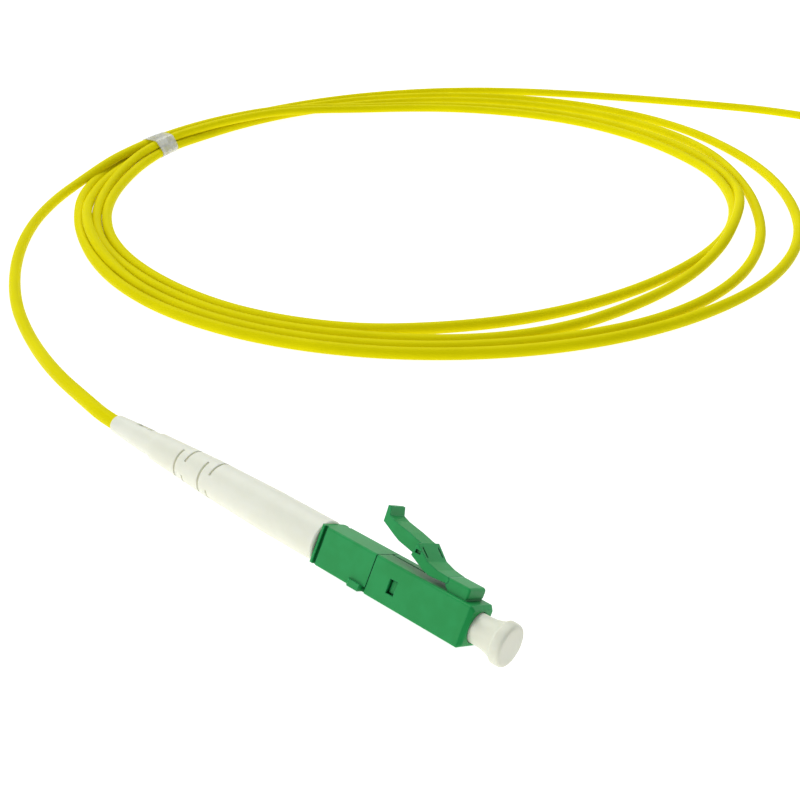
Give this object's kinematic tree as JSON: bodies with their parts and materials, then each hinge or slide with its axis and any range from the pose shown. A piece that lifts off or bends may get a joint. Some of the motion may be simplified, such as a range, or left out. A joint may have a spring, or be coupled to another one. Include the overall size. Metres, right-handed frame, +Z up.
{
  "type": "fibre optic patch cable",
  "caption": "Fibre optic patch cable: thin round jacketed lead in a tied loose coil, ending in small square latching plugs with tapered boots and dust caps.",
  "frame": {"origin": "centre of plug a's front face, on its ferrule axis", "axes": "+X along plug a's ferrule axis, the way it is pushed in; +Z up from the surface that the cable lies on; +Y away from the camera, towards the coil"},
  "size_m": [0.1848, 0.2127, 0.0104],
  "materials": {
    "green_plastic": "satin moulded green",
    "ivory_boot": "satin ivory elastomer",
    "ivory_cap": "satin ivory",
    "ceramic": "polished white ceramic",
    "plated_metal": "nickel plated",
    "crimp_metal": "plain, pressed",
    "spring_steel": "drawn wire",
    "fibre_buffer": "smooth white",
    "cable_jacket": "satin yellow",
    "clear_plastic": "clear film"
  },
  "bodies": {
    "cable": {"front_housing_a": "green_plastic", "rear_housing_a": "green_plastic", "boot_a": "ivory_boot", "crimp_post_a": "plated_metal", "crimp_sleeve_a": "crimp_metal", "jacket_end_a": "cable_jacket", "ferrule_spring_a": "spring_steel", "front_housing_b": "green_plastic", "rear_housing_b": "green_plastic", "boot_b": "ivory_boot", "crimp_post_b": "plated_metal", "crimp_sleeve_b": "crimp_metal", "jacket_end_b": "cable_jacket", "ferrule_spring_b": "spring_steel", "cable_tail_a": "cable_jacket", "cable_coil": "cable_jacket", "cable_tail_b": "cable_jacket", "coil_tie": "clear_plastic"},
    "latch_a": {"latch_lever_a": "green_plastic"},
    "ferrule_a": {"ferrule_a": "ceramic", "ferrule_flange_a": "plated_metal", "buffered_fibre_a": "fibre_buffer"},
    "cap_a": {"dust_cap_a": "ivory_cap"},
    "latch_b": {"latch_lever_b": "green_plastic"},
    "ferrule_b": {"ferrule_b": "ceramic", "ferrule_flange_b": "plated_metal", "buffered_fibre_b": "fibre_buffer"},
    "cap_b": {"dust_cap_b": "ivory_cap"}
  },
  "joints": [
    {"name": "latch_press_a", "type": "hinge", "parent": "cable", "child": "latch_a", "pos_m": [-0.0044, 0.00172, 0.00276], "axis": [0, -0.848, 0.5299], "range_deg": [0, 10], "stiffness_Nm_per_rad": 0.2},
    {"name": "ferrule_push_a", "type": "slide", "parent": "cable", "child": "ferrule_a", "axis": [-1, 0, 0], "range_m": [0, 0.001], "stiffness_N_per_m": 500, "deforming": ["ferrule_spring_a"]},
    {"name": "cap_pull_a", "type": "slide", "parent": "ferrule_a", "child": "cap_a", "axis": [1, 0, 0], "range_m": [0, 0.012]},
    {"name": "latch_press_b", "type": "hinge", "parent": "cable", "child": "latch_b", "pos_m": [0.0116, 0.2065, 0.0025], "axis": [0, -1, 0], "range_deg": [0, 10], "stiffness_Nm_per_rad": 0.2},
    {"name": "ferrule_push_b", "type": "slide", "parent": "cable", "child": "ferrule_b", "axis": [-1, 0, 0], "range_m": [0, 0.001], "stiffness_N_per_m": 500, "deforming": ["ferrule_spring_b"]},
    {"name": "cap_pull_b", "type": "slide", "parent": "ferrule_b", "child": "cap_b", "axis": [1, 0, 0], "range_m": [0, 0.012]}
  ]
}
